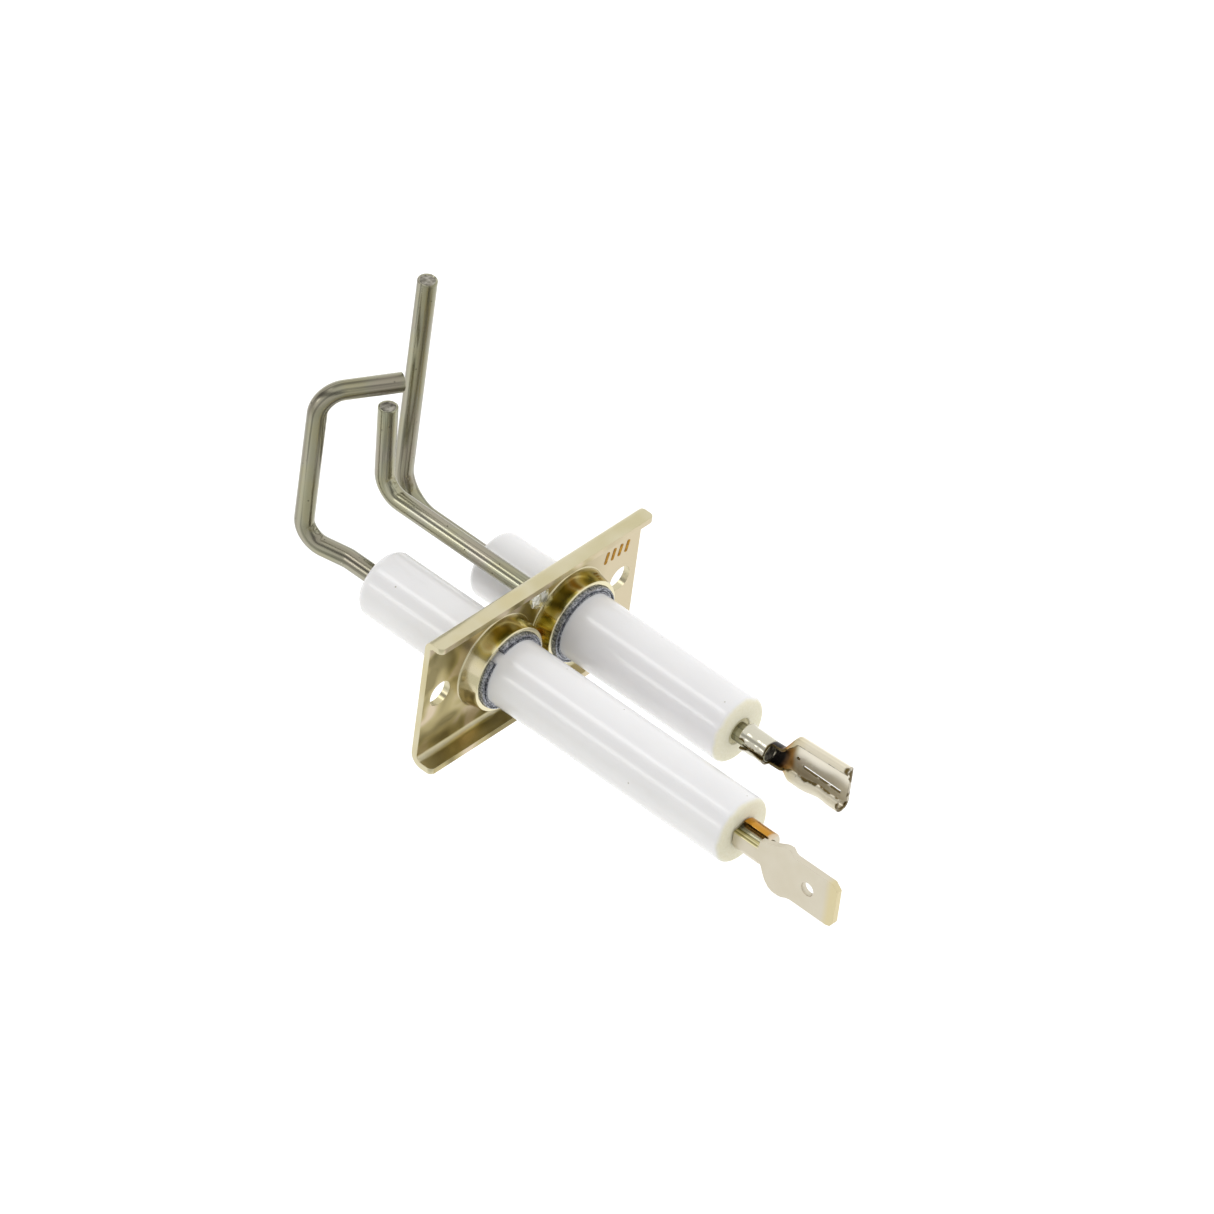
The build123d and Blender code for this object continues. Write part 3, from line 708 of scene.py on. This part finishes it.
def receptacle_terminal():
    """One thin sheet: a barrel crimped on the wire, a trough, and a floor with a roll each side."""
    ceramic_face = rear_low.y
    half = thin_sheet / 2
    ring = wire_radius + half + 0.01 * MM
    # Distances along run from the ceramic's end.
    barrel_start, barrel_end, trough_start, body_end = 1.3 * MM, 4.85 * MM, 4.6 * MM, 15.25 * MM
    rolls_start, rolls_formed = 6.3 * MM, 7.9 * MM
    pinch_along, ease_along = 12.2 * MM, 9.6 * MM
    floor_x = rear_x + wire_radius + 0.4 * MM + half
    upper_roll, lower_roll = 0.6 * MM - half, 1.1 * MM - half
    body_z = 0.35 * MM
    upper_z, lower_z = body_z + 2.55 * MM, body_z - 2.05 * MM
    sweep = math.radians(240)
    trough_sweep = math.radians(190)
    lean = math.tan(math.radians(3.2))

    def crimped(u, v):
        # The wings meet on the near side; they spring open a little at the wire's end.
        spring = (1 - blend_between(v, 0.0, 0.45)) * 0.24
        seam = 0.12 + spring + 0.05 * math.sin(v * 9)
        angle = math.pi + seam + u * (math.tau - 2 * seam)
        flare = 1 + 0.1 * (1 - blend_between(v, 0.0, 0.2)) + 0.03 * math.sin(v * math.pi)
        squeeze = 1 - 0.07 * math.exp(-((v - 0.62) / 0.18) ** 2) * (0.5 - 0.5 * math.cos(angle))
        start = barrel_start - 0.25 * MM * math.sin(angle)
        y = ceramic_face - (start + v * (barrel_end - start))
        reach = ring * flare * squeeze
        return Vector((rear_x + reach * math.cos(angle), y, reach * math.sin(angle)))

    def body_section(u, along):
        pinch = math.exp(-((along - pinch_along) / (1.3 * MM)) ** 2)
        lift = (0.32 * pinch - 0.15 * math.exp(-((along - ease_along) / (1.4 * MM)) ** 2)) * MM
        upper_arc, lower_arc = upper_roll * sweep, lower_roll * sweep
        flat = upper_z - lower_z
        travel = u * (upper_arc + flat + lower_arc)
        if travel < lower_arc:
            angle = sweep - travel / lower_roll
            x = floor_x - lower_roll + lower_roll * math.cos(angle)
            return x, lower_z + lift * math.sin(angle / 2) ** 2 - lower_roll * math.sin(angle)
        if travel < lower_arc + flat:
            return floor_x, lower_z + travel - lower_arc
        curl = 1 + 0.06 * math.sin(along / (0.55 * MM))
        angle = (travel - lower_arc - flat) / upper_roll * curl
        x = floor_x - upper_roll + upper_roll * math.cos(angle)
        return x, upper_z + upper_roll * math.sin(angle)

    def trough_section(u):
        angle = (u - 0.5) * trough_sweep
        return rear_x + ring * math.cos(angle), ring * math.sin(angle)

    def shaped(u, v):
        along = trough_start + v * (body_end - trough_start)
        rolled = blend_between(along, rolls_start, rolls_formed)
        x, z = body_section(u, along)
        trough_x, trough_z = trough_section(u)
        x = trough_x + (x - trough_x) * rolled
        z = trough_z + (z - trough_z) * rolled
        return Vector((x, ceramic_face - along, z + lean * max(along - barrel_end, 0)))

    barrel = pressed_strip("receptacle_barrel", 64, 24, crimped, thin_sheet)
    body = pressed_strip("receptacle_body", 120, 72, shaped, thin_sheet)
    centre = (floor_x, ceramic_face - 11.3 * MM, body_z - 1.2 * MM + lean * 6.0 * MM)
    combine(body, block("slot", centre, (1.0 * MM, 5.8 * MM, 0.5 * MM)), "DIFFERENCE")
    centre = (floor_x, ceramic_face - 7.7 * MM, 0.2 * MM)
    combine(body, bar("dimple", centre, 0.22 * MM, 1 * MM, ALONG_X, 24), "DIFFERENCE")
    smooth(body, 40)
    joined([body, barrel], "receptacle_pressing")
    finish(body, receptacle_material, "receptacle_brass", "receptacle_terminal")


receptacle_terminal()


# ---------------------------------------------------------------- insulators

def insulator_tube(name, node):
    """A tube of ceramic: rounded ends, a cement pocket in each, a bore between, a wavy glaze."""
    low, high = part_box(node)
    centre = (low + high) / 2
    obj = bar(name, centre, insulator_radius, high.y - low.y, ALONG_Y, 96)
    bpy.ops.object.mode_set(mode="EDIT")
    ends = ((high.y, burner_round, 10, -1), (low.y, terminal_round, 6, 1))
    for y, rounding, steps, _ in ends:
        pick(obj, "EDGE", lambda points: all(abs(p.y - y) < NEAR for p in points))
        bpy.ops.mesh.bevel(offset=rounding, segments=steps)
    for y, rounding, _, inward in ends:
        pick(obj, "FACE", lambda points: all(abs(p.y - y) < NEAR for p in points))
        bpy.ops.mesh.inset(thickness=insulator_radius - rounding - cement_radius - pocket_edge)
        bpy.ops.mesh.extrude_region_move()
        bpy.ops.transform.resize(
            value=(cement_radius / (cement_radius + pocket_edge),) * 3,
            center_override=(centre.x, y, 0),
        )
        bpy.ops.transform.translate(value=(0, inward * pocket_edge, 0))
        wall = (0, inward * (cement_depth - pocket_edge), 0)
        bpy.ops.mesh.extrude_region_move(TRANSFORM_OT_translate={"value": wall})
        bpy.ops.mesh.inset(thickness=cement_radius - insulator_bore)
    floors = [high.y - cement_depth, low.y + cement_depth]
    bore = insulator_bore + NEAR
    pick(
        obj,
        "FACE",
        lambda points: any(all(abs(p.y - y) < NEAR for p in points) for y in floors)
        and all(math.hypot(p.x - centre.x, p.z) < bore for p in points),
    )
    bpy.ops.mesh.bridge_edge_loops()
    outer = insulator_radius - NEAR
    pick(
        obj,
        "EDGE",
        lambda points: abs(points[0].y - points[1].y) > 5 * MM
        and all(math.hypot(p.x - centre.x, p.z) > outer for p in points),
    )
    bpy.ops.mesh.subdivide(number_cuts=48)
    bpy.ops.object.mode_set(mode="OBJECT")
    bare = obj.data.attributes.new("bare", "FLOAT", "POINT")
    for vertex in obj.data.vertices:
        point = vertex.co
        out = Vector((point.x - centre.x, 0, point.z))
        if out.length > outer:
            wave = noise.noise(point * 160) - 0.6
            vertex.co = point + out.normalized() * wave * 0.02 * MM
        ragged = noise.noise(point * 900) * 0.12 * MM
        from_end = point.y - low.y + ragged
        in_pocket = out.length < insulator_radius - burner_round - 0.2 * MM
        glazed = min(max((from_end - 0.1 * MM) / (0.35 * MM), 0), 1)
        bare.data[vertex.index].value = 1.0 if in_pocket else 1 - glazed
    smooth(obj, 35)
    finish(obj, ceramic, "glazed_insulator", node)


insulator_tube("front_insulator_tube", "front_insulator")
insulator_tube("rear_insulator_tube", "rear_insulator")


def cement_plug(name, node, outward):
    """A collar of cement in its pocket, poured round the wire and slumped a little."""
    low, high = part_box(node)
    x = (low.x + high.x) / 2
    inner, outer, steps = wire_radius, cement_radius, 6
    corners = [(inner, low.y), (outer, low.y), (outer, high.y), (inner, high.y)]
    section = [
        (radius + (next_radius - radius) * i / steps, y + (next_y - y) * i / steps)
        for (radius, y), (next_radius, next_y) in zip(corners, corners[1:] + corners[:1])
        for i in range(steps)
    ]
    plug = turned(name, x, section, 48)
    face_y = high.y if outward > 0 else low.y
    for vertex in plug.data.vertices:
        if abs(vertex.co.y - face_y) < NEAR:
            dip = 0.05 + 0.05 * noise.noise(vertex.co * 1500)
            vertex.co.y -= outward * dip * MM
    smooth(plug, 40)
    finish(plug, cement_material, "insulator_cement", node)


for tube in ("front", "rear"):
    for end, outward in (("burner", 1), ("terminal", -1)):
        cement_plug(f"{tube}_{end}_cement_plug", f"{tube}_{end}_end_cement", outward)


# ---------------------------------------------------------------- packing

def packing_coil(name, node, gap_angle):
    """Three leaves of strip, one in the other, each open at its gap and standing a little uneven."""
    low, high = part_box(node)
    x = (low.x + high.x) / 2
    leaves = []
    for turn, (drop, gap) in enumerate(zip(leaf_drops, leaf_gaps)):
        inner = insulator_radius + turn * leaf_pitch
        outer, start, opening = inner + leaf_thickness, low.y + drop, gap / inner
        section = [(inner, start), (outer, start), (outer, high.y), (inner, high.y)]
        lead = math.radians(gap_angle) - opening / 2
        leaf = turned(f"{name}_leaf_{turn + 1}", x, section, 96, math.tau - opening, lead)
        for vertex in leaf.data.vertices:
            if vertex.co.y < (low.y + high.y) / 2:
                wander = noise.noise(vertex.co * 700 + Vector((turn, 0, 0)))
                vertex.co.y += 0.05 * (1 + wander) * MM
        ease_edges(leaf, 0.03 * MM, 30)
        smooth(leaf, 40)
        leaves.append(leaf)
    finish(joined(leaves, name), packing_material, "packing_strip", node)


packing_coil("front_packing_coil", "front_packing_ring", 127)
packing_coil("rear_packing_coil", "rear_packing_ring", -60)


# ---------------------------------------------------------------- wires

def route_curve(name, points, radii):
    """A bezier curve of straight runs and tangent arcs; returns it and its arcs."""
    anchors = [(points[0], 0.0, None)]
    arcs = []
    for before, corner, after, radius in zip(points, points[1:], points[2:], radii):
        coming = (corner - before).normalized()
        going = (after - corner).normalized()
        angle = coming.angle(going)
        trim = radius * math.tan(angle / 2)
        reach = 4 / 3 * math.tan(angle / 4) * radius
        start, end = corner - coming * trim, corner + going * trim
        anchors.append((start, reach, (coming, True)))
        anchors.append((end, reach, (going, False)))
        inward = (going - coming).normalized()
        arcs.append((corner + inward * radius / math.cos(angle / 2), radius, angle, inward))
    anchors.append((points[-1], 0.0, None))
    data = bpy.data.curves.new(name, "CURVE")
    data.dimensions = "3D"
    data.resolution_u = 32
    spline = data.splines.new("BEZIER")
    spline.bezier_points.add(len(anchors) - 1)
    for i, (place, reach, turn) in enumerate(anchors):
        knot = spline.bezier_points[i]
        knot.handle_left_type = knot.handle_right_type = "FREE"
        knot.co = place
        towards_last = (anchors[i - 1][0] - place).normalized() if i else Vector()
        towards_next = (anchors[i + 1][0] - place).normalized() if i + 1 < len(anchors) else Vector()
        last_run = (anchors[i - 1][0] - place).length / 3 if i else 0
        next_run = (anchors[i + 1][0] - place).length / 3 if i + 1 < len(anchors) else 0
        knot.handle_left = place + towards_last * last_run
        knot.handle_right = place + towards_next * next_run
        if turn is not None:
            direction, entering = turn
            if entering:
                knot.handle_right = place + direction * reach
            else:
                knot.handle_left = place - direction * reach
    curve = bpy.data.objects.new(name, data)
    bpy.context.scene.collection.objects.link(curve)
    return curve, arcs


def run_length(points, radii):
    """The length of wire in a route of straight runs and arcs."""
    length = sum((b - a).length for a, b in zip(points, points[1:]))
    for before, corner, after, radius in zip(points, points[1:], points[2:], radii):
        angle = (corner - before).angle(after - corner)
        length -= radius * (2 * math.tan(angle / 2) - angle)
    return length


def bent_wire(name, node, points, radii):
    """Straight wire stock with cropped ends, bent round its route and pinched inside each bend."""
    length = run_length(points, radii)
    obj = bar(name, (length / 2, 0, 0), wire_radius, length, ALONG_X, 48)
    obj.data.materials.append(wire_material)
    obj.data.materials.append(wire_end)
    bpy.ops.object.mode_set(mode="EDIT")
    pick(obj, "EDGE", lambda ends: abs(ends[0].x - ends[1].x) > length / 2)
    bpy.ops.mesh.subdivide(number_cuts=15)
    pick(
        obj,
        "EDGE",
        lambda ends: abs(ends[0].x - ends[1].x) > 0.1 * MM
        and all(math.hypot(p.y, p.z) > wire_radius - NEAR for p in ends),
    )
    bpy.ops.mesh.subdivide(number_cuts=max(int(length / (16 * 0.3 * MM)), 2))
    for x in (0, length):
        pick(obj, "EDGE", lambda ends: all(abs(p.x - x) < SAME for p in ends))
        bpy.ops.mesh.bevel(offset=wire_edge, segments=3)
        pick(obj, "FACE", lambda ends: all(abs(p.x - x) < SAME for p in ends))
        bpy.ops.mesh.inset(thickness=0.12 * MM)
        obj.active_material_index = 1
        bpy.ops.object.material_slot_assign()
        for _ in range(3):
            bpy.ops.mesh.inset(thickness=0.24 * MM)
        bpy.ops.mesh.poke()
    bpy.ops.object.mode_set(mode="OBJECT")
    for x, inward in ((0, 1), (length, -1)):
        for vertex in obj.data.vertices:
            radius = math.hypot(vertex.co.y, vertex.co.z)
            if abs(vertex.co.x - x) < SAME and radius < wire_radius - wire_edge - 0.05 * MM:
                torn = 0.07 + 0.07 * noise.noise(vertex.co * 1700 + Vector((inward * 3, 0, 0)))
                vertex.co.x += inward * torn * MM
    stock = obj.data.attributes.new("stock", "FLOAT_VECTOR", "POINT")
    for vertex in obj.data.vertices:
        stock.data[vertex.index].vector = vertex.co
    curve, arcs = route_curve(name + "_route", points, radii)
    modify(obj, "CURVE", object=curve, deform_axis="POS_X")
    bpy.data.objects.remove(curve)
    for centre, radius, angle, inward in arcs:
        for vertex in obj.data.vertices:
            spoke = vertex.co - centre
            if spoke.length > radius + 2 * wire_radius:
                continue
            swing = spoke.angle(-inward) if spoke.length else math.pi
            if swing > angle / 2:
                continue
            inner = max(0.0, (radius - spoke.length) / wire_radius)
            if inner > crease_start:
                ripple = math.cos(swing / (angle / 2) * 2.5 * math.pi)
                fade = 1 - swing / (angle / 2)
                depth = crease_depth * (inner - crease_start) / (1 - crease_start) * fade
                vertex.co += spoke.normalized() * ripple * depth
    smooth(obj, 40)
    finish(obj, None, "electrode_wire", node)


post_x = spark_low.x + wire_radius
post_y = spark_high.y - wire_radius
arm_z = spark_high.z - wire_radius
spark_post_top = Vector((post_x, post_y, arm_z))
bent_wire(
    "spark_wire",
    "spark_electrode",
    [
        Vector((front_x, spark_low.y, 0)),
        Vector((front_x, front_high.y + kink_from_insulator, 0)),
        Vector((post_x, post_y, 0)),
        spark_post_top,
        spark_post_top + spark_arm,
    ],
    [kink_radius, bend_radius, bend_radius],
)
flame_post = Vector((rear_x, flame_high.y - wire_radius, 0))
bent_wire(
    "flame_sensing_wire",
    "flame_sensing_electrode",
    [Vector((rear_x, flame_low.y, 0)), flame_post, Vector((rear_x, flame_post.y, flame_high.z))],
    [flame_bend_radius],
)
earth_corner = Vector((earth_x, earth_high.y - wire_radius * 0.997 - earth_upright.y, earth_z))
bent_wire(
    "earth_wire",
    "earth_electrode",
    [Vector((earth_x, earth_low.y, earth_z)), earth_corner, earth_corner + earth_upright],
    [bend_radius],
)


# ---------------------------------------------------------------- weld

def weld_bead():
    """Splash frozen over the earth wire's cropped end, in two lobes with a groove between them."""
    centre = (weld_low + weld_high) / 2
    radius = (weld_high.x - weld_low.x) / 2
    height = weld_high.y - weld_low.y
    bpy.ops.object.select_all(action="DESELECT")
    bpy.ops.mesh.primitive_ico_sphere_add(subdivisions=5, radius=1, location=(0, 0, 0))
    bead = placed("earth_wire_weld_splash")
    for vertex in bead.data.vertices:
        p = vertex.co
        lump = 1 + 0.14 * noise.noise(p * 1.7) + 0.06 * noise.noise(p * 5)
        groove = 0.35 * math.exp(-((p.x + 0.1) / 0.25) ** 2) * max(p.z + 0.3, 0)
        x, y, z = p * lump
        y = min(y * (1 - groove), 0.15)
        vertex.co = Vector((x * radius * 1.05, y * height * 0.95, z * radius * 1.05))
        vertex.co += Vector((centre.x, weld_high.y, centre.z))
    smooth(bead, 60)
    finish(bead, weld_material, "weld_metal", "earth_rod_weld")


weld_bead()


# ---------------------------------------------------------------- marking

def marking_ticks():
    """Four plain inspection ticks in lacquer, under the top lip by the right-hand hole."""
    ticks = []
    for i in range(4):
        place = ((12.3 + 1.15 * i) * MM, -sheet - 0.01 * MM, 4.7 * MM)
        size = (0.5 * MM, 0.03 * MM, 1.7 * MM)
        tick = block(f"inspection_tick_{i + 1}", place, size, (0, math.radians(14), 0))
        bpy.ops.object.mode_set(mode="EDIT")
        pick(tick, "EDGE", lambda ends: abs(ends[0].y - ends[1].y) > 0.02 * MM)
        bpy.ops.mesh.bevel(offset=0.2 * MM, segments=5)
        bpy.ops.object.mode_set(mode="OBJECT")
        ticks.append(tick)
    marks = joined(ticks, "inspection_ticks")
    smooth(marks, 40)
    finish(marks, ink, "plated_sheet")


marking_ticks()


# ---------------------------------------------------------------- studio

def softbox(name, direction, power):
    """A square soft light that faces the part."""
    data = bpy.data.lights.new(name, "AREA")
    data.shape = "SQUARE"
    data.size = softbox_size
    data.energy = power
    lamp = bpy.data.objects.new(name, data)
    away = Vector(direction).normalized()
    lamp.location = away * softbox_distance
    lamp.rotation_euler = away.to_track_quat("Z", "Y").to_euler()
    bpy.context.scene.collection.objects.link(lamp)


softbox_size = 0.16
softbox_distance = 0.9
softbox("top_softbox", (-0.295, 0.458, 0.838), 0.28)
softbox("side_softbox", (-0.838, 0.458, 0.298), 0.24)

# A bright sweep all round, falling away to a dimmer room on the side that the part is seen from.
world = bpy.data.worlds.new("studio")
bpy.context.scene.world = world
world.use_nodes = True
backdrop = world.node_tree.nodes["Background"]
backdrop.inputs["Color"].default_value = colour("#F5F5F4")
direction = add(world, "TexCoord").outputs["Generated"]
facing = add(world, "VectorMath", {0: direction, 1: SEEN_FROM}, operation="DOT_PRODUCT")
sweep = add(
    world,
    "MapRange",
    {"Value": facing, "From Min": 0.1, "From Max": 0.95, "To Min": 1.22, "To Max": 1.0},
)
# A black flag hangs between the two softboxes and gives the bright metal its dark streak.
across = add(world, "VectorMath", {0: direction, 1: (0.682, 0.0, 0.731)}, operation="DOT_PRODUCT")
width = add(world, "Math", {0: across}, operation="ABSOLUTE")
edge = add(world, "MapRange", {"Value": width, "From Min": 0.24, "From Max": 0.14})
side = add(world, "VectorMath", {0: direction, 1: (-0.731, 0.0, 0.682)}, operation="DOT_PRODUCT")
near = add(world, "MapRange", {"Value": side, "From Min": 0.2, "From Max": 0.5})
flag = add(world, "Math", {0: edge, 1: near}, operation="MULTIPLY")
open_sky = add(world, "MapRange", {"Value": flag, "To Min": 1.0, "To Max": 0.3})
strength = add(world, "Math", {0: sweep, 1: open_sky}, operation="MULTIPLY")
world.node_tree.links.new(strength.outputs[0], backdrop.inputs["Strength"])

bpy.ops.object.select_all(action="DESELECT")
table_size, table_height = 8, -0.5
bpy.ops.mesh.primitive_plane_add(size=table_size, location=(0, 0, table_height))
floor = placed("floor")
floor_material, floor_shader = started("pale table", Roughness=0.9)
# The table is pale behind the part and painted a little greyer in front of it: painted shade, which the
# metal reflects. It glows faintly in its own colour.
spot = add(floor_material, "TexCoord").outputs["Object"]
ahead = add(floor_material, "VectorMath", {0: spot, 1: SEEN_FROM}, operation="DOT_PRODUCT")
shade = add(floor_material, "MapRange", {"Value": ahead, "From Min": 0.22, "From Max": 0.6})
floor_colour = add(floor_material, "ValToRGB", {"Fac": shade}, [(0.0, "#FBFBFB"), (1.0, "#C8C9C1")])
floor_shader.inputs["Emission Strength"].default_value = 0.28
wire_up(floor_material, floor_shader, Base_Color=floor_colour, Emission_Color=floor_colour)
floor.data.materials.append(floor_material)


# ---------------------------------------------------------------- camera

camera_azimuth = math.radians(-52.72)
camera_elevation = math.radians(40.88)
camera_roll = math.radians(8.03)
camera_distance = 1693.5 * MM
camera_lens = 439.4
aim_right = 9.39 * MM
aim_up = 2.84 * MM

back = Vector((
    math.sin(camera_azimuth) * math.cos(camera_elevation),
    -math.cos(camera_azimuth) * math.cos(camera_elevation),
    math.sin(camera_elevation),
))
level = Vector((math.cos(camera_azimuth), math.sin(camera_azimuth), 0))
above = back.cross(level)
right = level * math.cos(camera_roll) + above * math.sin(camera_roll)
up = above * math.cos(camera_roll) - level * math.sin(camera_roll)
camera_data = bpy.data.cameras.new("camera")
camera_data.lens = camera_lens
camera_data.sensor_width = 36.0
camera_data.clip_end = 20.0
camera = bpy.data.objects.new("camera", camera_data)
camera.matrix_world = Matrix.Translation(
    back * camera_distance + right * aim_right + up * aim_up
) @ Matrix((right, up, back)).transposed().to_4x4()
bpy.context.scene.collection.objects.link(camera)
bpy.context.scene.camera = camera
bpy.context.scene.view_settings.view_transform = "Standard"
